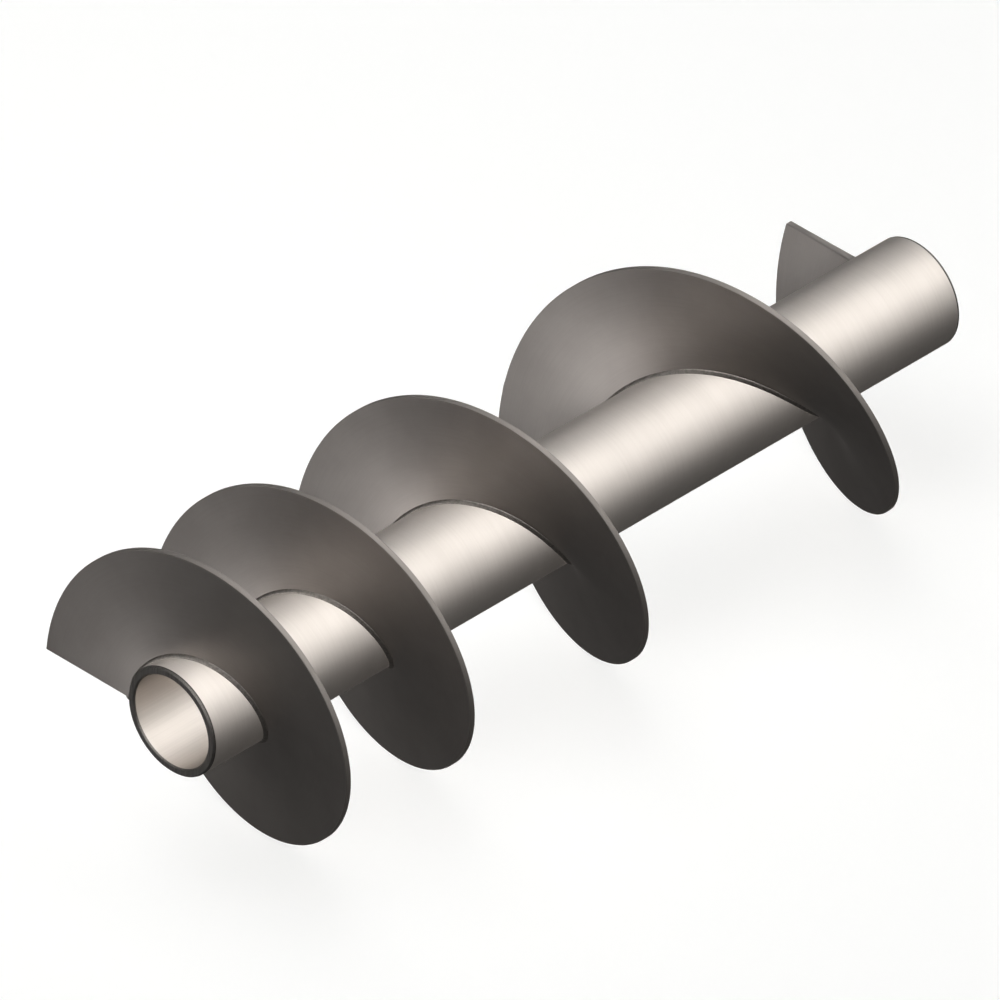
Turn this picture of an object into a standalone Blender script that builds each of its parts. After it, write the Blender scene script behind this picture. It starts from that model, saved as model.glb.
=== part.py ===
"""Variable pitch screw conveyor: a steel pipe that carries four turns of flight.

The screw lies along X, inlet end at -X, on the rims of its flights at Z = 0. Its pitch grows from
inlet to discharge, so each turn of flight carries what the turn before it hands on in a longer,
shallower heap. Sizes are in metres. Places along the flight are counted in turns: the plate starts
at 0 turns, pointing to +Y, and climbs towards +X as it turns from +Y up over +Z.
"""

import math

import bmesh
import bpy

# Driving dimensions of the screw
SCREW_DIAMETER = 0.315
PIPE_DIAMETER = 0.108
PIPE_WALL = 0.008
PIPE_LENGTH = 0.940
PLATE_THICKNESS = 0.006
# Pitch at the start of each turn and at the end of the last one, growing evenly in between
PITCHES = (0.111, 0.151, 0.210, 0.313, 0.405)

# Edges, welds and clearances
PIPE_CHAMFER = 0.001
FLIGHT_SETBACK = 0.0033  # from the pipe's inlet end to the middle of the plate's first edge
WELD_LEG = 0.003
SEAM_WIDTH = 0.003
SEAM_CROWN = 0.0002
FIT_GAP = 0.0003  # between pieces that touch
INLET_RUN_IN = 0.05  # turns of front weld left out where its toe would pass the pipe's end
DISCHARGE_RUN_OUT = 0.02  # turns of back weld left out for the same reason

# Fineness of the round shapes
PIPE_SIDES = 72
FLIGHT_STEPS = 90  # a turn: the rim then has a flat side, not a corner, at the bottom
WELD_STEPS = 45  # a turn

SCREW_RADIUS = SCREW_DIAMETER / 2
PIPE_RADIUS = PIPE_DIAMETER / 2
ROOT_RADIUS = PIPE_RADIUS + FIT_GAP
TURNS = len(PITCHES) - 1
REST_HEIGHT = SCREW_RADIUS * math.cos(math.pi / FLIGHT_STEPS)

# Name, linear colour and roughness of each finish
PIPE_STEEL = ("polished_tube_steel", (0.65, 0.60, 0.56), 0.55)
PLATE_STEEL = ("rolled_plate_steel", (0.34, 0.31, 0.30), 0.45)
WELD_STEEL = ("weld_metal", (0.32, 0.30, 0.27), 0.48)


def clear_scene():
    for obj in list(bpy.data.objects):
        bpy.data.objects.remove(obj, do_unlink=True)


def steel(name, colour, roughness):
    material = bpy.data.materials.new(name)
    material.use_nodes = True
    shader = material.node_tree.nodes["Principled BSDF"]
    shader.inputs["Base Color"].default_value = (*colour, 1)
    shader.inputs["Metallic"].default_value = 1
    shader.inputs["Roughness"].default_value = roughness
    return material


def screw_axis():
    """The empty that carries every piece, on the screw's axis at the pipe's inlet end."""
    axis = bpy.data.objects.new("screw_axis", None)
    bpy.context.scene.collection.objects.link(axis)
    axis.location = (-PIPE_LENGTH / 2, 0, REST_HEIGHT)
    return axis


def add_piece(name, bm, finish, axis):
    """Closes the mesh work and hangs the piece on the screw's axis."""
    bmesh.ops.recalc_face_normals(bm, faces=bm.faces)
    mesh = bpy.data.meshes.new(name)
    bm.to_mesh(mesh)
    bm.free()
    mesh.shade_smooth()
    mesh.set_sharp_from_angle(angle=math.radians(30))
    mesh.materials.append(steel(*finish))
    piece = bpy.data.objects.new(name, mesh)
    piece.parent = axis
    bpy.context.scene.collection.objects.link(piece)
    return piece


def loft(sections):
    """A closed body whose skin runs through the sections, each a loop of as many points."""
    bm = bmesh.new()
    loops = [[bm.verts.new(point) for point in section] for section in sections]
    for near, far in zip(loops, loops[1:]):
        for i in range(len(near)):
            bm.faces.new((near[i - 1], near[i], far[i], far[i - 1]))
    bm.faces.new(loops[0])
    bm.faces.new(loops[-1])
    return bm


def pitch_at(turns):
    turn = min(max(int(turns), 0), TURNS - 1)
    return PITCHES[turn] + (PITCHES[turn + 1] - PITCHES[turn]) * (turns - turn)


def middle_at(turns):
    """How far along the pipe the middle of the plate is: the pitch, summed over the turns so far."""
    turn = min(max(int(turns), 0), TURNS - 1)
    whole = sum((PITCHES[i] + PITCHES[i + 1]) / 2 for i in range(turn))
    return FLIGHT_SETBACK + whole + (PITCHES[turn] + pitch_at(turns)) / 2 * (turns - turn)


def on_plate(turns, radius, lift, sideways=0.0):
    """A point of the flight, a lift square to the plate towards the discharge, and sideways along it.

    The plate leans, the more so near the pipe, so a lift square to it is a longer way along the axis.
    """
    turns += sideways / (math.tau * radius)
    lean = math.hypot(radius, pitch_at(turns) / math.tau) / radius
    angle = math.tau * turns
    return middle_at(turns) + lift * lean, radius * math.cos(angle), radius * math.sin(angle)


def pipe_body():
    """The pipe's wall, spun round its axis, with both ends chamfered inside and out."""
    bore = PIPE_RADIUS - PIPE_WALL
    outline = []
    for end, inward in ((0, 1), (PIPE_LENGTH, -1)):
        corners = [
            (end + inward * PIPE_CHAMFER, bore),
            (end, bore + PIPE_CHAMFER),
            (end, PIPE_RADIUS - PIPE_CHAMFER),
            (end + inward * PIPE_CHAMFER, PIPE_RADIUS),
        ]
        outline += corners[::inward]
    bm = bmesh.new()
    points = [bm.verts.new((x, radius, 0)) for x, radius in outline]
    edges = [bm.edges.new((points[i - 1], points[i])) for i in range(len(points))]
    bmesh.ops.spin(
        bm, geom=points + edges, cent=(0, 0, 0), axis=(1, 0, 0), angle=math.tau,
        steps=PIPE_SIDES, use_merge=True,
    )
    return bm


def flight_body(turn):
    """One turn of plate from the pipe to the rim, cut back by half a seam where it meets the next."""
    radii = (ROOT_RADIUS, (ROOT_RADIUS + SCREW_RADIUS) / 2, SCREW_RADIUS)
    corners = [(radius, -PLATE_THICKNESS / 2) for radius in radii]
    corners += [(radius, PLATE_THICKNESS / 2) for radius in reversed(radii)]
    sections = []
    for step in range(FLIGHT_STEPS + 1):
        cut = 0.0
        if step == 0 and turn > 0:
            cut = SEAM_WIDTH / 2
        if step == FLIGHT_STEPS and turn < TURNS - 1:
            cut = -SEAM_WIDTH / 2
        turns = turn + step / FLIGHT_STEPS
        sections.append([on_plate(turns, radius, lift, cut) for radius, lift in corners])
    return loft(sections)


def seam_body(turns):
    """The butt weld that joins two turns of plate, dressed almost flush, from the fillets to the rim."""
    half = SEAM_WIDTH / 2 - FIT_GAP
    lift = PLATE_THICKNESS / 2 + SEAM_CROWN
    corners = ((-half, -lift), (half, -lift), (half, lift), (-half, lift))
    return loft([
        [on_plate(turns, radius, up, sideways) for sideways, up in corners]
        for radius in (ROOT_RADIUS + WELD_LEG + FIT_GAP, SCREW_RADIUS)
    ])


def fillet_body(first, last, side):
    """The weld in the corner between pipe and plate, on the inlet side (-1) or discharge side (1)."""
    near = side * (PLATE_THICKNESS / 2 + FIT_GAP)
    toe = near + side * WELD_LEG
    corners = ((ROOT_RADIUS, near), (ROOT_RADIUS, toe), (ROOT_RADIUS + WELD_LEG, near))
    steps = round((last - first) * WELD_STEPS)
    sections = []
    for step in range(steps + 1):
        sideways = {0: FIT_GAP / 2, steps: -FIT_GAP / 2}.get(step, 0.0)
        turns = first + (last - first) * step / steps
        sections.append([on_plate(turns, radius, lift, sideways) for radius, lift in corners])
    return loft(sections)


def end_weld_body(turns, side):
    """The short weld that closes the corner across the plate's cut end, below (-1) or above (1) it."""
    sections = []
    for lift in (-PLATE_THICKNESS / 2, PLATE_THICKNESS / 2):
        x = on_plate(turns, ROOT_RADIUS, lift)[0]
        toe = (FIT_GAP + WELD_LEG) / ROOT_RADIUS
        sections.append([
            (x, ROOT_RADIUS, side * FIT_GAP),
            (x, ROOT_RADIUS * math.cos(toe), side * ROOT_RADIUS * math.sin(toe)),
            (x, ROOT_RADIUS + WELD_LEG, side * FIT_GAP),
        ])
    return loft(sections)


def build_screw():
    axis = screw_axis()
    add_piece("center_pipe", pipe_body(), PIPE_STEEL, axis)
    for turn in range(TURNS):
        number = turn + 1
        add_piece(f"flight_turn_{number}", flight_body(turn), PLATE_STEEL, axis)
        run_in = INLET_RUN_IN if turn == 0 else 0
        run_out = DISCHARGE_RUN_OUT if number == TURNS else 0
        front = fillet_body(turn + run_in, number, -1)
        back = fillet_body(turn, number - run_out, 1)
        add_piece(f"front_weld_turn_{number}", front, WELD_STEEL, axis)
        add_piece(f"back_weld_turn_{number}", back, WELD_STEEL, axis)
    for turns in range(1, TURNS):
        add_piece(f"seam_weld_{turns}_{turns + 1}", seam_body(turns), WELD_STEEL, axis)
    add_piece("end_weld_inlet", end_weld_body(0, -1), WELD_STEEL, axis)
    add_piece("end_weld_discharge", end_weld_body(TURNS, 1), WELD_STEEL, axis)


clear_scene()
build_screw()
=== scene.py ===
"""Looks of a variable pitch conveyor screw: its pipe, four turns of flight and the welds on them.

The screw lies along X on the rims of its flights, tight-pitch inlet end at -X. Places along the
flight are counted in turns from its first edge, which points to +Y, and the flight climbs towards
+X as it turns from +Y up over +Z. Lengths are in metres unless a name or comment says otherwise.

The flights are made as a plate shop makes them, and the fillet welds along them in the same way:
a section is turned round the pipe's axis into a flat ring with a slit, and the ring is then pulled
along the pipe to its pitch.
"""

from contextlib import contextmanager
import math

import bpy
from bpy.props import FloatProperty, FloatVectorProperty, IntProperty, PointerProperty
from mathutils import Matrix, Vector


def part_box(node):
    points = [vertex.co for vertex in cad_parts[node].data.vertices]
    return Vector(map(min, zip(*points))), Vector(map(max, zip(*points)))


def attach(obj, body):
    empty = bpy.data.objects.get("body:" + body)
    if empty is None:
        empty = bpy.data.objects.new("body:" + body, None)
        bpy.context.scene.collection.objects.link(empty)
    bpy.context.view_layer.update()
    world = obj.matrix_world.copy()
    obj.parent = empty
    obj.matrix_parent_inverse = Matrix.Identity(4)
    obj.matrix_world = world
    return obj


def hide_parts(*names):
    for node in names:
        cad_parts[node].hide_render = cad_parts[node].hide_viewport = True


bl_info = {
    "name": "Variable Pitch Conveyor Screw",
    "version": (1, 0, 0),
    "blender": (4, 5, 0),
    "location": "3D View > Sidebar > Conveyor Screw",
    "description": "Models and finishes the pipe, flights and welds of a conveyor screw",
    "category": "Object",
}

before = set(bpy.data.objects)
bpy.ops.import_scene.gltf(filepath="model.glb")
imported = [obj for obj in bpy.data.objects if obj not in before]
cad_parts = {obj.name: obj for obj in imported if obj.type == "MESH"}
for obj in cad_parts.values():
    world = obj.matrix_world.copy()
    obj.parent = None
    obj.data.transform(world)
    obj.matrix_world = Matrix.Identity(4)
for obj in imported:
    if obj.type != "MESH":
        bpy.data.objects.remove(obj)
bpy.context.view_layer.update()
pipe_low, pipe_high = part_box("center_pipe")

# Sizes that the frame gives
TURNS = sum(node.startswith("flight_turn_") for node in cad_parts)
PIPE_LENGTH = pipe_high.x - pipe_low.x
PIPE_RADIUS = pipe_high.y
SCREW_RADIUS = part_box("flight_turn_1")[1].y
AXIS_HEIGHT = (pipe_low.z + pipe_high.z) / 2
AXIS_AT_INLET = (pipe_low.x, 0, AXIS_HEIGHT)

MM = 0.001

# Details of the shapes
SLIT = math.radians(0.02)  # the hair-thin gap between the two ends of a full turn
SAME_PLACE = 0.01  # turns within which a face counts as lying at a place of the flight
WELD_SUNK = 0.4 * MM  # how far weld metal reaches into the steel under it
CROWN_OFFSET = 0.96  # of a fillet's leg: how far its outer corner is cut back
CROWN_PROFILE = 0.34  # of that cut: a little fuller than flat, which is 0.25
END_ROUNDING = 0.3  # of a fillet's leg: radius at its ends
RIPPLE_BOW = 0.55  # of a ripple: how far the ends of its crescent lie ahead of the middle
RIPPLE_FULLNESS = 0.7  # power under 1, for broad crests with narrow valleys between them

# Fineness of the meshes, in faces
EDGE_ROWS = 3  # across a rounded edge
CROWN_ROWS = 7  # across the face of a fillet
PLATE_ROWS = 12  # from the pipe to the rim
SEAM_ROWS = 13  # from the pipe to the rim
SEAM_SIDES = 96  # round the flattened rod of a seam
SMOOTH_BELOW = math.radians(40)  # sharper edges stay sharp

# Spacings of the marks on the steel. The real ones are 0.05 to 0.5 mm apart, too fine to show, so
# they are drawn as coarse as they have to be to show: one to three pixels of the picture.
POLISH_MARKS = 1.6 * MM
DRAWING_MARKS = 1.8 * MM
SAW_STROKES = 0.9 * MM
PRESS_MARKS = 1.5 * MM
PLATE_GRAIN = 1.5 * MM
GRINDING_MARKS = 1.2 * MM
WELD_SPECKS = 2.5 * MM
# Spacings of what shows at its real size
POLISH_CLOUDS = 70 * MM
SCALE_CLOUDS = 45 * MM

# Changes of finish along and across the steel
SKIN_EDGE = 0.3 * MM  # over which the polish of the tube gives way to its skin
RIM_STARTS, RIM_FULL = 1.2 * MM, 0.4 * MM  # in from the rim, the change from plate to sheared rim
RIM_WANDER = 0.4 * MM  # how far that change wanders either way

# The stage
FLOOR_SIZE = 200
SOFT_LIGHT_DISTANCE = 3  # for the eye only: these lights shine the same from anywhere
LAMP_WAY = (-0.1, 0.25, 0.96)  # from the floor to the lamp: steeply up
LAMP_DISTANCE = 2.4
LAMP_SIZE = 1.8

# The square picture that the camera frames
PICTURE_WIDTH = 1000  # in pixels
PIXELS_PER_METRE = 1124
INLET_PIXEL = (173.0, 720.8)  # where the pipe's axis meets its inlet end


def linear(hex_colour):
    """The linear red, green and blue of an sRGB colour such as 8C8A86."""
    channels = [int(hex_colour[i:i + 2], 16) / 255 for i in (0, 2, 4)]
    return tuple(c / 12.92 if c <= 0.04045 else ((c + 0.055) / 1.055) ** 2.4 for c in channels)


def colour_property(name, description, hex_colour):
    return FloatVectorProperty(
        name=name, description=description, subtype="COLOR", size=3, min=0, max=1,
        default=linear(hex_colour))


class PipeSettings(bpy.types.PropertyGroup):
    wall: FloatProperty(
        name="Wall", description="Thickness of the tube's wall", default=0.008, unit="LENGTH")
    chamfer: FloatProperty(
        name="Chamfer", description="Broken edge at the pipe's ends", default=0.001, unit="LENGTH")
    sides: IntProperty(
        name="Sides", description="Faces round the pipe", default=192, min=24)
    steel_colour: colour_property("Steel", "Colour of the polished tube", "D3CCC5")
    bore_colour: colour_property("Bore", "Colour of the bore where it is cleaned", "C4BDB6")
    # The dark colour deep in the bore is painted shade. It stands in for the shadow inside the tube
    # that the shadowless lights leave out. The depth and the fade below set where this painted shade
    # starts in from each end, and how long it takes to come in.
    bore_painted_shade_colour: colour_property("Bore shade", "Colour of the painted shade deep inside", "4A4542")
    bore_glance: FloatProperty(
        name="Bore glance", description="Share of its shine that the bore keeps at a glancing angle",
        default=0.1, subtype="FACTOR")
    bright_depth: FloatProperty(
        name="Bright depth", description="How far in from each end the bore stays bright",
        default=0.05, unit="LENGTH")
    painted_shade_fade: FloatProperty(
        name="Shade fade", description="How long the change from bright bore to painted shade is",
        default=0.3, unit="LENGTH")
    cut_colour: colour_property("Saw cut", "Colour of the sawn ends", "989490")
    end_band: FloatProperty(
        name="End band", description="Width of the dark skin that the polish leaves at each end",
        default=0.002, unit="LENGTH")
    skin_colour: colour_property("Mill skin", "Colour of the skin left at the ends", "524E4B")
    roughness: FloatProperty(
        name="Roughness", description="Roughness of the satin polish", default=0.55,
        subtype="FACTOR")


class FlightSettings(bpy.types.PropertyGroup):
    thickness: FloatProperty(
        name="Plate", description="Thickness of the flight plate", default=0.006, unit="LENGTH")
    pitches: FloatVectorProperty(
        name="Pitches",
        description="Pitch at the start of each turn and at the end of the last, even in between",
        size=TURNS + 1, default=(0.111, 0.151, 0.210, 0.313, 0.405), unit="LENGTH")
    setback: FloatProperty(
        name="Setback",
        description="From the pipe's inlet end to the middle of the plate's first edge",
        default=0.0033, unit="LENGTH")
    edge_radius: FloatProperty(
        name="Edge radius", description="Rounding of the sheared edges", default=0.0007,
        unit="LENGTH")
    steps: IntProperty(
        name="Steps", description="Faces round each turn", default=480, min=60)
    plate_colour: colour_property("Plate", "Colour of the rolled plate", "9E9894")
    scale_colour: colour_property("Mill scale", "Colour where the mill scale is thicker", "98928E")
    rim_colour: colour_property("Rim", "Colour of the sheared rim", "96908B")
    roughness: FloatProperty(
        name="Roughness", description="Roughness of the plate", default=0.45, subtype="FACTOR")
    rim_roughness: FloatProperty(
        name="Rim roughness", description="Roughness of the rim", default=0.6, subtype="FACTOR")


class WeldSettings(bpy.types.PropertyGroup):
    leg: FloatProperty(
        name="Leg", description="Leg of the fillet welds", default=0.003, unit="LENGTH")
    ripple_pitch: FloatProperty(
        name="Ripple pitch", description="From one ripple to the next", default=0.0024,
        unit="LENGTH")
    ripple_height: FloatProperty(
        name="Ripple height", description="How far a ripple stands up", default=0.00025,
        unit="LENGTH")
    run_in: FloatProperty(
        name="Run-in",
        description="Turns left out at the front, where the weld would pass the pipe's end",
        default=0.05)
    run_out: FloatProperty(
        name="Run-out",
        description="Turns left out at the back, where the weld would pass the pipe's end",
        default=0.02)
    seam_width: FloatProperty(
        name="Seam width", description="Width of the dressed seam between two turns",
        default=0.005, unit="LENGTH")
    seam_crown: FloatProperty(
        name="Seam crown", description="What dressing leaves of a seam above the plate",
        default=0.0001, unit="LENGTH")
    steps: IntProperty(
        name="Steps", description="Faces along each turn of weld", default=1200, min=90)
    colour: colour_property("Weld metal", "Colour of the brushed weld metal", "9A948E")


class StageSettings(bpy.types.PropertyGroup):
    floor_colour: colour_property("Floor", "Colour of the pale floor", "F2F2F1")
    floor_glow: FloatProperty(
        name="Floor glow", description="How bright the floor's light table shines", default=0.17)
    key_strength: FloatProperty(
        name="Key", description="Strength of the broad light over the discharge end", default=1.15)
    top_strength: FloatProperty(
        name="Top", description="Strength of the high light on the near side", default=1.19)
    side_strength: FloatProperty(
        name="Side", description="Strength of the low light on the near side", default=0.6)
    inlet_strength: FloatProperty(
        name="Inlet", description="Strength of the light on the inlet end", default=0.93)
    back_strength: FloatProperty(
        name="Back", description="Strength of the low light behind the inlet end", default=0.5)
    lamp_power: FloatProperty(
        name="Lamp", description="Power of the lamp that gives the soft shadow, in watts",
        default=12)
    room_strength: FloatProperty(
        name="Room", description="Brightness of the room round the screw", default=0.043)
    lens: FloatProperty(
        name="Lens", description="Focal length, long for a view almost without perspective",
        default=1600, subtype="DISTANCE_CAMERA")


# Course of the flight along the pipe

def pitch_at(turns, pitches):
    turn = min(max(int(turns), 0), TURNS - 1)
    return pitches[turn] + (pitches[turn + 1] - pitches[turn]) * (turns - turn)


def middle_at(turns, pitches):
    """How far the middle of the plate is from where it starts: the pitch, summed so far."""
    turn = min(max(int(turns), 0), TURNS - 1)
    whole = sum((pitches[i] + pitches[i + 1]) / 2 for i in range(turn))
    return whole + (pitches[turn] + pitch_at(turns, pitches)) / 2 * (turns - turn)


def lean_at(turns, radius, pitches):
    """How much longer a way square to the leaning plate is along the axis; more near the pipe."""
    return math.hypot(radius, pitch_at(turns, pitches) / math.tau) / radius


def place_of(point, near):
    """The turns and the radius at which a point lies, on the turn of flight round the turns near."""
    angle = math.atan2(point.z, point.y) - math.tau * near
    return near + math.remainder(angle, math.tau) / math.tau, math.hypot(point.y, point.z)


# Modelling steps that several pieces share

def select_only(piece):
    bpy.ops.object.select_all(action="DESELECT")
    piece.select_set(True)
    bpy.context.view_layer.objects.active = piece


@contextmanager
def editing(piece):
    """Opens a piece in edit mode, all of it selected, and closes it after the steps inside."""
    select_only(piece)
    bpy.ops.object.mode_set(mode="EDIT")
    bpy.ops.mesh.select_all(action="SELECT")
    yield
    bpy.ops.object.mode_set(mode="OBJECT")


def pick(piece, kind, wanted):
    """In edit mode, selects only the VERT, EDGE or FACE items of a piece that are wanted."""
    bpy.ops.mesh.select_mode(type=kind)
    bpy.ops.mesh.select_all(action="DESELECT")
    bpy.ops.object.mode_set(mode="OBJECT")
    items = {"VERT": "vertices", "EDGE": "edges", "FACE": "polygons"}[kind]
    for item in getattr(piece.data, items):
        item.select = wanted(item)
    bpy.ops.object.mode_set(mode="EDIT")


def edge_length(piece, edge):
    start, end = (piece.data.vertices[i].co for i in edge.vertices)
    return (start - end).length


def apply_modifier(piece, kind, **settings):
    modifier = piece.modifiers.new(kind.title(), kind)
    for name, value in settings.items():
        setattr(modifier, name, value)
    bpy.context.view_layer.objects.active = piece
    bpy.ops.object.modifier_apply(modifier=modifier.name)


def add_piece(name, add_primitive, **settings):
    """Adds a primitive with its origin on the pipe's axis, at the inlet end."""
    bpy.ops.object.select_all(action="DESELECT")
    add_primitive(location=AXIS_AT_INLET, **settings)
    piece = bpy.context.object
    piece.name = piece.data.name = name
    return piece


def fill_space(*ranges):
    """In edit mode, sizes and moves a unit-sized shape to fill a range along each of X, Y and Z.

    The ranges start from the pipe's axis at its inlet end, and may run either way.
    """
    bpy.ops.transform.resize(
        value=[abs(end - start) for start, end in ranges], center_override=AXIS_AT_INLET)
    bpy.ops.transform.translate(value=[(start + end) / 2 for start, end in ranges])


def add_section(name, lifts, radii):
    """Adds a rectangle that fills a range of lifts, which are ways along the axis, and of radii."""
    section = add_piece(name, bpy.ops.mesh.primitive_plane_add, size=1)
    with editing(section):
        fill_space(lifts, radii, (0, 0))
    return section


def turn_section(piece, first, last, steps_per_turn):
    """Turns the section round the axis into a flat ring that runs from first to last, in turns."""
    with editing(piece):
        # The angle is negative because this operator turns the other way where there is no window
        bpy.ops.transform.rotate(
            value=-math.tau * first - SLIT / 2, orient_axis="X", center_override=AXIS_AT_INLET)
    steps = round(steps_per_turn * (last - first))
    apply_modifier(
        piece, "SCREW", axis="X", angle=math.tau * (last - first) - SLIT, steps=steps,
        render_steps=steps, use_merge_vertices=False)
    with editing(piece):
        bpy.ops.mesh.fill_holes(sides=0)
        bpy.ops.mesh.select_all(action="SELECT")
        bpy.ops.mesh.normals_make_consistent(inside=False)


def round_caps(piece, radius, wanted=lambda cap: True):
    """In edit mode, rounds the edges of the wanted caps, the only faces with over four corners."""
    pick(piece, "FACE", lambda face: len(face.vertices) > 4 and wanted(face))
    bpy.ops.mesh.region_to_loop()
    bpy.ops.mesh.bevel(affect="EDGES", offset=radius, segments=EDGE_ROWS)


def round_end(ring, place, radius):
    """Rounds the edges of the cap that closes a ring at a place along it, in turns."""
    with editing(ring):
        round_caps(
            ring, radius, lambda cap: abs(place_of(cap.center, place)[0] - place) < SAME_PLACE)


def shift_by_weight(piece, name, shares, direction, reach):
    """Moves each vertex by its share of the reach, along X or along its own normal."""
    group = piece.vertex_groups.new(name=name)
    for vertex, share in zip(piece.data.vertices, shares):
        group.add([vertex.index], share, "REPLACE")
    apply_modifier(
        piece, "DISPLACE", direction=direction, strength=reach, mid_level=0, vertex_group=name)
    piece.vertex_groups.clear()


def pull_to_pitch(piece, near, straight=False):
    """Pulls a flat ring, slit at its ends, along the pipe until it lies at the flight's pitch.

    A straight piece keeps to one place of the flight and only takes on the plate's lean there.
    """
    flight = bpy.context.scene.screw_flight
    pitches = tuple(flight.pitches)
    shares = []
    for vertex in piece.data.vertices:
        turns, radius = place_of(vertex.co, near)
        if straight:
            turns = near
        leaning = vertex.co.x * (lean_at(turns, radius, pitches) - 1)
        shares.append((flight.setback + middle_at(turns, pitches) + leaning) / PIPE_LENGTH)
    shift_by_weight(piece, "pull", shares, "X", PIPE_LENGTH)


def finish_piece(piece, node, slot, *materials):
    """Smooths a piece, gives it its materials and puts it in the place of its node in the frame."""
    select_only(piece)
    bpy.ops.object.transform_apply(location=True, rotation=False, scale=False)
    bpy.ops.object.shade_smooth_by_angle(angle=SMOOTH_BELOW)
    apply_modifier(piece, "WEIGHTED_NORMAL", keep_sharp=True)
    for material in materials:
        piece.data.materials.append(material)
    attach(piece, "root")
    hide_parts(node)


# Materials

def new_material(name):
    material = bpy.data.materials.new(name)
    material.use_nodes = True
    return material, material.node_tree, material.node_tree.nodes["Principled BSDF"]


def fill_inputs(tree, node, inputs):
    """Sets a node's inputs to values, or links them to the outputs that are given for them."""
    for name, value in inputs.items():
        if isinstance(value, bpy.types.NodeSocket):
            tree.links.new(value, node.inputs[name])
        else:
            node.inputs[name].default_value = value


def add_node(tree, kind, inputs=None, **settings):
    """Adds a node with its settings, and fills its inputs."""
    node = tree.nodes.new("ShaderNode" + kind)
    for name, value in settings.items():
        setattr(node, name, value)
    fill_inputs(tree, node, inputs or {})
    return node


def shade(colour, share=1):
    """A colour as a node takes it, darkened to a share of itself."""
    return (*(share * channel for channel in colour), 1)


def screw_point(tree):
    """The point of the surface, measured from the middle of the pipe's axis."""
    coordinates = add_node(tree, "TexCoord")
    centred = add_node(tree, "Mapping", {
        "Vector": coordinates.outputs["Object"], "Location": (0, 0, -AXIS_HEIGHT)})
    return centred.outputs[0]


def way_from_middle(tree, point):
    """How far along the pipe the point is from the pipe's middle, towards either end."""
    axes = add_node(tree, "SeparateXYZ", {"Vector": point})
    return add_node(tree, "Math", {0: axes.outputs["X"]}, operation="ABSOLUTE").outputs[0]


def place_round_axis(tree, point):
    """The point's radius, and its angle in turns from 0 to 1, which starts at +Y as the flight does."""
    axes = add_node(tree, "SeparateXYZ", {"Vector": point})
    across = add_node(tree, "CombineXYZ", {"Y": axes.outputs["Y"], "Z": axes.outputs["Z"]})
    radius = add_node(tree, "VectorMath", {0: across.outputs[0]}, operation="LENGTH")
    angle = add_node(
        tree, "Math", {0: axes.outputs["Z"], 1: axes.outputs["Y"]}, operation="ARCTAN2")
    turns = add_node(tree, "Math", {0: angle.outputs[0], 1: math.tau}, operation="DIVIDE")
    share = add_node(tree, "Math", {0: turns.outputs[0]}, operation="FRACT")
    return radius.outputs["Value"], share.outputs[0]


def grain(tree, vector, spacing, stretch=(1, 1, 1), detail=3, roughness=0.55):
    """Noise whose clumps are about a spacing apart, times the stretch along each axis.

    Its values gather round 0.5, so a blend by it starts at about 0.3 and is done by about 0.7.
    """
    scaled = add_node(tree, "Mapping", {
        "Vector": vector, "Scale": [1 / (spacing * times) for times in stretch]})
    noise = add_node(tree, "TexNoise", {
        "Vector": scaled.outputs[0], "Scale": 1, "Detail": detail, "Roughness": roughness})
    return noise.outputs["Fac"]


def blend(tree, value, low, high, first, second, most=1):
    """A colour that fades from the first to the second, or to the most of the way there, as a
    value goes from low to high."""
    share = add_node(tree, "MapRange", {
        "Value": value, "From Min": low, "From Max": high, "To Max": most,
    }, interpolation_type="SMOOTHSTEP")
    # Among this node's sockets, inputs 6 and 7 and output 2 are its colours
    mixed = add_node(
        tree, "Mix", {0: share.outputs[0], 6: first, 7: second}, data_type="RGBA")
    return mixed.outputs[2]


def polished_tube_steel(settings):
    """Seamless tube, belt-polished to a satin: bright, with fine marks running round it, and a
    thin dark line at each end, where the belt leaves the tube's own skin."""
    material, tree, shader = new_material("polished_tube_steel")
    point = screw_point(tree)
    clouds = grain(tree, point, POLISH_CLOUDS, detail=2)
    marks = grain(tree, point, POLISH_MARKS, stretch=(1, 45, 45), detail=4, roughness=0.6)
    steel = settings.steel_colour
    colour = blend(tree, clouds, 0.35, 0.7, shade(steel), shade(steel, 0.95))
    colour = blend(tree, marks, 0.35, 0.75, colour, shade(steel, 0.8), most=0.1)
    polished_to = PIPE_LENGTH / 2 - settings.chamfer - settings.end_band
    colour = blend(tree, way_from_middle(tree, point), polished_to, polished_to + SKIN_EDGE,
                   colour, shade(settings.skin_colour))
    rough = add_node(tree, "MapRange", {
        "Value": marks, "From Min": 0.3, "From Max": 0.7,
        "To Min": settings.roughness - 0.03, "To Max": settings.roughness + 0.03,
    }, interpolation_type="SMOOTHSTEP")
    relief = add_node(tree, "Bump", {"Height": marks, "Distance": 0.01 * MM, "Strength": 0.5})
    fill_inputs(tree, shader, {
        "Base Color": colour, "Metallic": 1, "Roughness": rough.outputs[0],
        "Normal": relief.outputs[0]})
    return material


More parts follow.
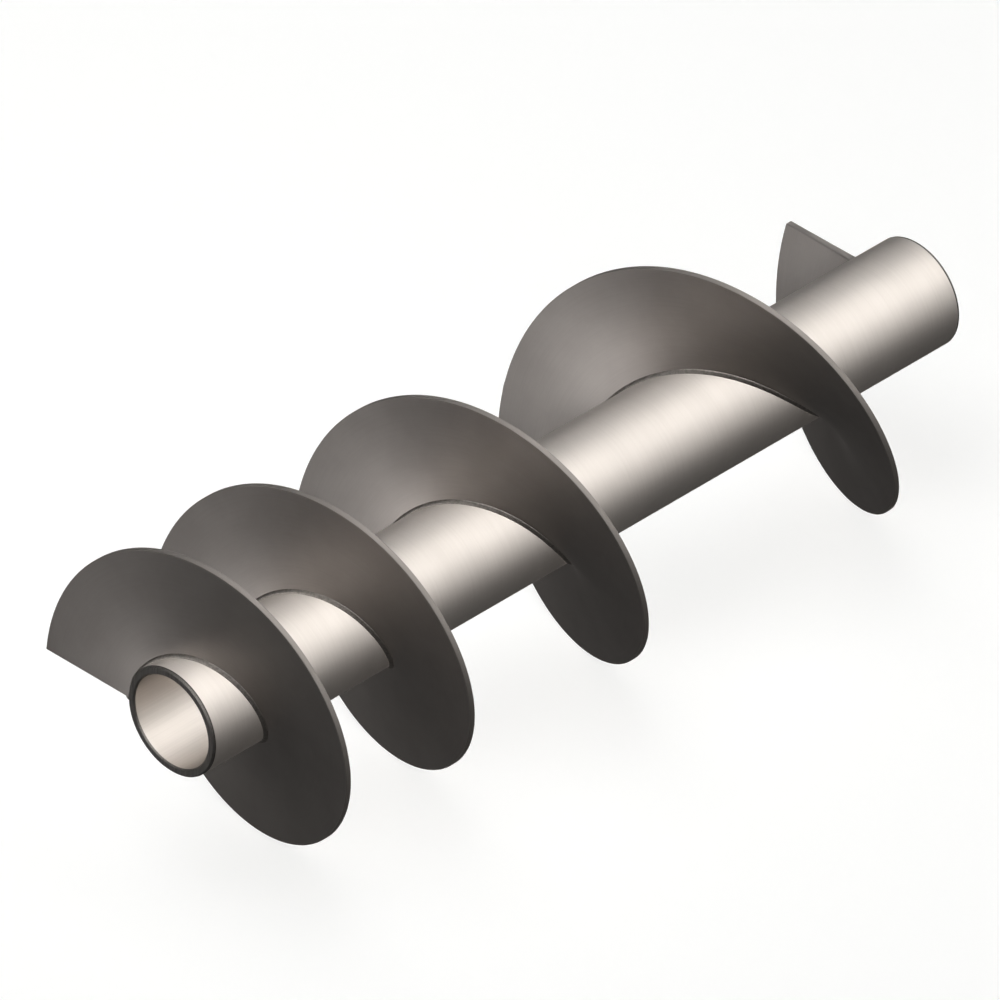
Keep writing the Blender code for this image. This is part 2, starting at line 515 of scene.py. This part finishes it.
def drawn_bore_steel(settings):
    """The bore as it was drawn, with long marks along the tube: bright near each end, and ever darker
    further in with painted shade, which stands in for the shadow that the shadowless lights leave out."""
    material, tree, shader = new_material("drawn_bore_steel")
    point = screw_point(tree)
    marks = grain(tree, point, DRAWING_MARKS, stretch=(60, 1, 1))
    bore = settings.bore_colour
    bright = blend(tree, marks, 0.35, 0.7, shade(bore), shade(bore, 0.8), most=0.25)
    # Painted shade: further in from each end, the bore fades to a dark colour in place of the shadow
    # there.
    bright_from = PIPE_LENGTH / 2 - settings.bright_depth
    colour = blend(
        tree, way_from_middle(tree, point), bright_from - settings.painted_shade_fade, bright_from,
        shade(settings.bore_painted_shade_colour), bright)
    relief = add_node(tree, "Bump", {"Height": marks, "Distance": 0.01 * MM, "Strength": 0.4})
    fill_inputs(tree, shader, {
        "Base Color": colour, "Metallic": 1, "Roughness": 0.5,
        "Specular Tint": shade((1, 1, 1), settings.bore_glance), "Normal": relief.outputs[0]})
    return material


def sawn_end_steel(settings):
    """Saw-cut steel: a band saw's fine straight strokes, all one way across the ring."""
    material, tree, shader = new_material("sawn_end_steel")
    strokes = grain(tree, screw_point(tree), SAW_STROKES, stretch=(1, 1, 40), detail=2)
    cut = settings.cut_colour
    relief = add_node(tree, "Bump", {"Height": strokes, "Distance": 0.03 * MM, "Strength": 0.6})
    fill_inputs(tree, shader, {
        "Base Color": blend(tree, strokes, 0.3, 0.7, shade(cut), shade(cut, 0.7)),
        "Metallic": 1, "Roughness": 0.42, "Normal": relief.outputs[0]})
    return material


def rolled_plate_look(tree, settings, point, radius, around):
    """The plate's colour and its press marks: faint clouds of mill scale, and long arcs."""
    clouds = grain(tree, point, SCALE_CLOUDS, detail=4)
    swirl = add_node(tree, "CombineXYZ", {"X": radius, "Y": around})
    arcs = grain(tree, swirl.outputs[0], PRESS_MARKS, stretch=(1, 60, 1))
    scale = settings.scale_colour
    colour = blend(tree, clouds, 0.3, 0.7, shade(settings.plate_colour), shade(scale))
    return blend(tree, arcs, 0.35, 0.75, colour, shade(scale, 0.7), most=0.1), arcs


def rolled_plate_steel(settings):
    """Hot-rolled plate, pressed to shape: an even satin grey, duller on its sheared rims."""
    material, tree, shader = new_material("rolled_plate_steel")
    point = screw_point(tree)
    radius, around = place_round_axis(tree, point)
    plate, arcs = rolled_plate_look(tree, settings, point, radius, around)
    fine = grain(tree, point, PLATE_GRAIN)
    wander = add_node(tree, "MapRange", {
        "Value": fine, "From Min": 0.2, "From Max": 0.8,
        "To Min": -RIM_WANDER, "To Max": RIM_WANDER,
    }, interpolation_type="SMOOTHSTEP")
    uneven = add_node(tree, "Math", {0: radius, 1: wander.outputs[0]}, operation="ADD")
    rim = add_node(tree, "MapRange", {
        "Value": uneven.outputs[0],
        "From Min": SCREW_RADIUS - RIM_STARTS, "From Max": SCREW_RADIUS - RIM_FULL,
    }, interpolation_type="SMOOTHSTEP").outputs[0]
    colour = add_node(
        tree, "Mix", {0: rim, 6: plate, 7: shade(settings.rim_colour)}, data_type="RGBA")
    rough = add_node(tree, "MapRange", {
        "Value": rim, "To Min": settings.roughness, "To Max": settings.rim_roughness,
    }, interpolation_type="SMOOTHSTEP")
    low = add_node(tree, "Bump", {"Height": fine, "Distance": 0.015 * MM, "Strength": 0.5})
    relief = add_node(tree, "Bump", {
        "Height": arcs, "Distance": 0.015 * MM, "Strength": 0.5, "Normal": low.outputs[0]})
    fill_inputs(tree, shader, {
        "Base Color": colour.outputs[2], "Metallic": 1, "Roughness": rough.outputs[0],
        "Normal": relief.outputs[0]})
    return material


def weld_metal(settings):
    """Wire-brushed weld metal: grey and finely speckled, with the brush's soft shine."""
    material, tree, shader = new_material("weld_metal")
    specks = grain(tree, screw_point(tree), WELD_SPECKS, detail=4)
    metal = settings.colour
    relief = add_node(tree, "Bump", {"Height": specks, "Distance": 0.04 * MM, "Strength": 0.5})
    fill_inputs(tree, shader, {
        "Base Color": blend(tree, specks, 0.35, 0.7, shade(metal), shade(metal, 0.7)),
        "Metallic": 1, "Roughness": 0.48, "Normal": relief.outputs[0]})
    return material


def dressed_seam_steel(settings):
    """A butt weld ground back to the plate, whose grey it shares, with a grinder's short marks."""
    material, tree, shader = new_material("dressed_seam_steel")
    point = screw_point(tree)
    plate, arcs = rolled_plate_look(tree, settings, point, *place_round_axis(tree, point))
    marks = grain(tree, point, GRINDING_MARKS, stretch=(1, 12, 1))
    low = add_node(tree, "Bump", {"Height": marks, "Distance": 0.015 * MM, "Strength": 0.5})
    relief = add_node(tree, "Bump", {
        "Height": arcs, "Distance": 0.015 * MM, "Strength": 0.5, "Normal": low.outputs[0]})
    fill_inputs(tree, shader, {
        "Base Color": plate, "Metallic": 1, "Roughness": settings.roughness,
        "Normal": relief.outputs[0]})
    return material


def matt_floor(settings):
    """A plain matt sheet on a light table, so the floor glows a little."""
    material, tree, shader = new_material("matt_floor")
    sheet = shade(settings.floor_colour)
    fill_inputs(tree, shader, {
        "Base Color": sheet, "Roughness": 0.9, "Specular IOR Level": 0.1,
        "Emission Color": sheet, "Emission Strength": settings.floor_glow})
    return material


# Pieces

class SCREW_OT_center_pipe(bpy.types.Operator):
    """Model the pipe: a seamless tube, sawn square and chamfered at both ends"""

    bl_idname = "conveyor_screw.center_pipe"
    bl_label = "Center Pipe"

    def execute(self, context):
        pipe = context.scene.screw_pipe
        bore_radius = PIPE_RADIUS - pipe.wall
        tube = add_section("pipe_tube", (0, PIPE_LENGTH), (bore_radius, PIPE_RADIUS))
        with editing(tube):
            bpy.ops.mesh.bevel(affect="VERTICES", offset=pipe.chamfer * math.sqrt(2), segments=1)
        apply_modifier(
            tube, "SCREW", axis="X", angle=math.tau, steps=pipe.sides, render_steps=pipe.sides,
            use_merge_vertices=False)
        with editing(tube):
            bpy.ops.mesh.remove_doubles(threshold=0.01 * MM)
            bpy.ops.mesh.normals_make_consistent(inside=False)
        finish_piece(
            tube, "center_pipe", "pipe_steel",
            polished_tube_steel(pipe), drawn_bore_steel(pipe), sawn_end_steel(pipe))
        bore, ends = 1, 2  # their places among the materials
        for face in tube.data.polygons:
            radius = math.hypot(face.center.y, face.center.z - AXIS_HEIGHT)
            if abs(face.normal.x) > 0.5:  # the chamfers too
                face.material_index = ends
            elif radius < bore_radius + pipe.wall / 2:
                face.material_index = bore
        return {"FINISHED"}


class SCREW_OT_flights(bpy.types.Operator):
    """Model the four turns of flight as slit rings of plate, each pulled to its own pitch"""

    bl_idname = "conveyor_screw.flights"
    bl_label = "Flights"

    def execute(self, context):
        flight = context.scene.screw_flight
        steel = rolled_plate_steel(flight)
        half = flight.thickness / 2
        height = SCREW_RADIUS - PIPE_RADIUS
        for turn in range(TURNS):
            plate = add_section(
                f"flight_plate_{turn + 1}", (-half, half), (PIPE_RADIUS, SCREW_RADIUS))
            with editing(plate):
                pick(plate, "VERT", lambda vertex: vertex.co.y > SCREW_RADIUS - half)
                bpy.ops.mesh.bevel(
                    affect="VERTICES", offset=flight.edge_radius, segments=EDGE_ROWS)
                bpy.ops.mesh.select_all(action="SELECT")
                bpy.ops.mesh.delete(type="ONLY_FACE")
                pick(plate, "EDGE", lambda edge: edge_length(plate, edge) > height / 2)
                bpy.ops.mesh.subdivide(number_cuts=PLATE_ROWS - 1)
            turn_section(plate, turn, turn + 1, flight.steps)
            for place in (turn, turn + 1):
                if place in (0, TURNS):
                    round_end(plate, place, flight.edge_radius)
            pull_to_pitch(plate, turn + 0.5)
            finish_piece(plate, f"flight_turn_{turn + 1}", "flight_steel", steel)
        return {"FINISHED"}


def crown(leg, kind):
    """In edit mode, cuts a fillet's outer corner, picked before, back to a crowned face."""
    bpy.ops.mesh.bevel(
        affect=kind, offset=leg * CROWN_OFFSET, segments=CROWN_ROWS, profile=CROWN_PROFILE)


def fillet_section(name, side, leg, thickness):
    """The section of a fillet weld in the corner of pipe and plate."""
    near, far = side * (thickness / 2 - WELD_SUNK), side * (thickness / 2 + leg)
    bead = add_section(name, (near, far), (PIPE_RADIUS - WELD_SUNK, PIPE_RADIUS + leg))
    with editing(bead):
        pick(bead, "VERT", lambda vertex: side * vertex.co.x > side * (near + far) / 2
             and vertex.co.y > PIPE_RADIUS + leg / 2)
        crown(leg, "VERTICES")
    return bead


def ripple(bead, near, leg, pitch, height):
    """Raises the crescents that the pool leaves as it freezes behind the arc, less at the toes."""
    advance = pitch_at(near, tuple(bpy.context.scene.screw_flight.pitches))
    length_of_turn = math.hypot(math.tau * (PIPE_RADIUS + leg / 2), advance)
    shares = []
    for vertex in bead.data.vertices:
        turns, radius = place_of(vertex.co, near)
        across = (radius - PIPE_RADIUS - leg / 2) / (leg / 2)
        phase = turns * length_of_turn / pitch - RIPPLE_BOW * across ** 2
        crest = abs(math.sin(math.pi * phase)) ** RIPPLE_FULLNESS
        shares.append(crest * max(0.0, 1 - across ** 4))
    shift_by_weight(bead, "ripple", shares, "NORMAL", height)


class SCREW_OT_root_welds(bpy.types.Operator):
    """Lay the fillet welds between pipe and plate, on both faces of every turn"""

    bl_idname = "conveyor_screw.root_welds"
    bl_label = "Root Welds"

    def execute(self, context):
        weld, flight = context.scene.screw_weld, context.scene.screw_flight
        metal = weld_metal(weld)
        for turn in range(TURNS):
            number = turn + 1
            run_in = weld.run_in if turn == 0 else 0
            run_out = weld.run_out if number == TURNS else 0
            for face, side, first, last in (
                ("front", -1, turn + run_in, number),
                ("back", 1, turn, number - run_out),
            ):
                bead = fillet_section(f"{face}_bead_{number}", side, weld.leg, flight.thickness)
                turn_section(bead, first, last, weld.steps)
                for place in (first, last):
                    if place not in range(1, TURNS):
                        round_end(bead, place, weld.leg * END_ROUNDING)
                near = (first + last) / 2
                pull_to_pitch(bead, near)
                ripple(bead, near, weld.leg, weld.ripple_pitch, weld.ripple_height)
                finish_piece(bead, f"{face}_weld_turn_{number}", "weld_steel", metal)
        return {"FINISHED"}


class SCREW_OT_seam_welds(bpy.types.Operator):
    """Fill the joints between one turn and the next: flattened rods that stand a hair proud"""

    bl_idname = "conveyor_screw.seam_welds"
    bl_label = "Seam Welds"

    def execute(self, context):
        weld, flight = context.scene.screw_weld, context.scene.screw_flight
        metal = dressed_seam_steel(flight)
        root, rim = PIPE_RADIUS + weld.leg / 2, SCREW_RADIUS - weld.seam_crown
        half = flight.thickness / 2
        depth = half + weld.seam_crown
        # An oval section, as wide as the seam where it comes out of the plate
        breadth = weld.seam_width / 2 / math.sqrt(1 - (half / depth) ** 2)
        for place in range(1, TURNS):
            seam = add_piece(
                f"seam_{place}_{place + 1}", bpy.ops.mesh.primitive_cylinder_add,
                vertices=SEAM_SIDES, radius=0.5, depth=1)
            with editing(seam):
                bpy.ops.transform.rotate(
                    value=math.pi / 2, orient_axis="X", center_override=AXIS_AT_INLET)
                fill_space((-depth, depth), (root, rim), (-breadth, breadth))
                pick(seam, "EDGE", lambda edge: edge_length(seam, edge) > (rim - root) / 2)
                bpy.ops.mesh.subdivide(number_cuts=SEAM_ROWS - 1)
            pull_to_pitch(seam, place)
            finish_piece(seam, f"seam_weld_{place}_{place + 1}", "weld_steel", metal)
        return {"FINISHED"}


class SCREW_OT_end_welds(bpy.types.Operator):
    """Close the corner across the plate's two cut ends with a short bead each"""

    bl_idname = "conveyor_screw.end_welds"
    bl_label = "End Welds"

    def execute(self, context):
        weld, flight = context.scene.screw_weld, context.scene.screw_flight
        metal = weld_metal(weld)
        leg = weld.leg
        half = flight.thickness / 2
        for name, place, inward, below in (
            ("inlet", 0, 1, -1),
            ("discharge", TURNS, -1, 1),
        ):
            bead = add_piece(f"end_bead_{name}", bpy.ops.mesh.primitive_cube_add, size=1)
            with editing(bead):
                fill_space(
                    (-inward * half, inward * (half + leg)),
                    (PIPE_RADIUS - WELD_SUNK, PIPE_RADIUS + leg),
                    (-below * WELD_SUNK, below * leg))
                corners = bead.data.vertices
                pick(bead, "EDGE", lambda edge: edge_length(bead, edge) > 2 * half and all(
                    corners[i].co.y > PIPE_RADIUS + leg / 2 and below * corners[i].co.z > leg / 2
                    for i in edge.vertices))
                crown(leg, "EDGES")
                round_caps(bead, leg * END_ROUNDING)
            pull_to_pitch(bead, place, straight=True)
            finish_piece(bead, f"end_weld_{name}", "weld_steel", metal)
        return {"FINISHED"}


# Stage

def lay_floor(stage):
    bpy.ops.object.select_all(action="DESELECT")
    bpy.ops.mesh.primitive_plane_add(size=FLOOR_SIZE, location=(0, 0, 0))
    floor = bpy.context.object
    floor.name = "floor"
    floor.data.materials.append(matt_floor(stage))
    floor.visible_diffuse = floor.visible_glossy = False  # it sends no glow up on to the steel


def add_light(name, kind, toward, distance):
    """Hangs a light the given way and distance off, turned to the floor under the screw's middle."""
    bpy.ops.object.light_add(type=kind, location=toward * distance)
    light = bpy.context.object
    light.name = name
    light.rotation_euler = toward.to_track_quat("Z", "Y").to_euler()
    return light


def hang_soft_lights(stage):
    """Broad lights without shadows, each by its way round from +X, its height and its spread."""
    for name, round_from_x, above_floor, spread, strength in (
        ("soft_key", -5, 45, 110, stage.key_strength),
        ("soft_top", -25, 50, 60, stage.top_strength),
        ("soft_side", -55, 20, 60, stage.side_strength),
        ("soft_inlet", 190, 20, 60, stage.inlet_strength),
        ("soft_back", 150, 5, 60, stage.back_strength),
    ):
        way, rise = math.radians(round_from_x), math.radians(above_floor)
        toward = Vector((
            math.cos(rise) * math.cos(way), math.cos(rise) * math.sin(way), math.sin(rise)))
        light = add_light(name, "SUN", toward, SOFT_LIGHT_DISTANCE)
        light.data.energy = strength
        light.data.angle = math.radians(spread)
        light.data.use_shadow = False
        light.data.cycles.use_multiple_importance_sampling = False


def hang_shadow_lamp(stage):
    """One wide lamp overhead, for the soft shadow on the floor."""
    lamp = add_light("shadow_lamp", "AREA", Vector(LAMP_WAY), LAMP_DISTANCE)
    lamp.data.size = LAMP_SIZE
    lamp.data.energy = stage.lamp_power
    lamp.visible_glossy = False  # it lights the floor and leaves the metal to the soft lights


def paint_room(scene, stage):
    """A room that looks white and lights the screw only faintly."""
    scene.world = bpy.data.worlds.new("pale_room")
    scene.world.use_nodes = True
    tree = scene.world.node_tree
    seen = add_node(tree, "LightPath").outputs["Is Camera Ray"]
    strength = add_node(tree, "MapRange", {"Value": seen, "To Min": stage.room_strength})
    fill_inputs(tree, tree.nodes["Background"], {
        "Color": (1, 1, 1, 1), "Strength": strength.outputs[0]})


def set_camera(scene, stage):
    """Shows the screw as in an isometric drawing, from above, on the inlet end's -Y side."""
    toward_camera = Vector((-1, -1, 1)).normalized()
    right = Vector((1, -1, 0)).normalized()
    up = toward_camera.cross(right)
    inlet_x, inlet_y = INLET_PIXEL
    aim = Vector(AXIS_AT_INLET) + (
        right * (PICTURE_WIDTH / 2 - inlet_x) - up * (PICTURE_WIDTH / 2 - inlet_y)
    ) / PIXELS_PER_METRE
    # Slid along the view until it is level with the pipe's middle, where the distance starts
    aim -= toward_camera * (aim - Vector((0, 0, AXIS_HEIGHT))).dot(toward_camera)
    bpy.ops.object.camera_add()
    camera = bpy.context.object
    camera.data.lens = stage.lens
    distance = stage.lens / camera.data.sensor_width * PICTURE_WIDTH / PIXELS_PER_METRE
    camera.location = aim + toward_camera * distance
    camera.rotation_euler = toward_camera.to_track_quat("Z", "Y").to_euler()
    camera.data.clip_start, camera.data.clip_end = 1, 500
    scene.camera = camera


class SCREW_OT_stage(bpy.types.Operator):
    """Set up the pale floor, the soft lights and the camera"""

    bl_idname = "conveyor_screw.stage"
    bl_label = "Stage"

    def execute(self, context):
        stage = context.scene.screw_stage
        lay_floor(stage)
        hang_soft_lights(stage)
        hang_shadow_lamp(stage)
        paint_room(context.scene, stage)
        set_camera(context.scene, stage)
        context.scene.view_settings.view_transform = "Standard"
        return {"FINISHED"}


PIECE_OPERATORS = (
    SCREW_OT_center_pipe, SCREW_OT_flights, SCREW_OT_root_welds, SCREW_OT_seam_welds,
    SCREW_OT_end_welds,
)
SETTINGS = {
    "screw_pipe": PipeSettings,
    "screw_flight": FlightSettings,
    "screw_weld": WeldSettings,
    "screw_stage": StageSettings,
}


class SCREW_PT_panel(bpy.types.Panel):
    """Sizes, colours and steps of the conveyor screw"""

    bl_idname = "SCREW_PT_panel"
    bl_label = "Conveyor Screw"
    bl_space_type = "VIEW_3D"
    bl_region_type = "UI"
    bl_category = "Conveyor Screw"

    def draw(self, context):
        for group, settings in SETTINGS.items():
            box = self.layout.box()
            for name in settings.__annotations__:
                box.prop(getattr(context.scene, group), name)
        for operator in (*PIECE_OPERATORS, SCREW_OT_stage):
            self.layout.operator(operator.bl_idname)


CLASSES = (*SETTINGS.values(), *PIECE_OPERATORS, SCREW_OT_stage, SCREW_PT_panel)


def register():
    for each in CLASSES:
        bpy.utils.register_class(each)
    for group, settings in SETTINGS.items():
        setattr(bpy.types.Scene, group, PointerProperty(type=settings))


def unregister():
    for group in SETTINGS:
        delattr(bpy.types.Scene, group)
    for each in reversed(CLASSES):
        bpy.utils.unregister_class(each)


def main():
    register()
    bpy.ops.conveyor_screw.center_pipe()
    bpy.ops.conveyor_screw.flights()
    bpy.ops.conveyor_screw.root_welds()
    bpy.ops.conveyor_screw.seam_welds()
    bpy.ops.conveyor_screw.end_welds()
    bpy.ops.conveyor_screw.stage()


if __name__ == "__main__":
    main()
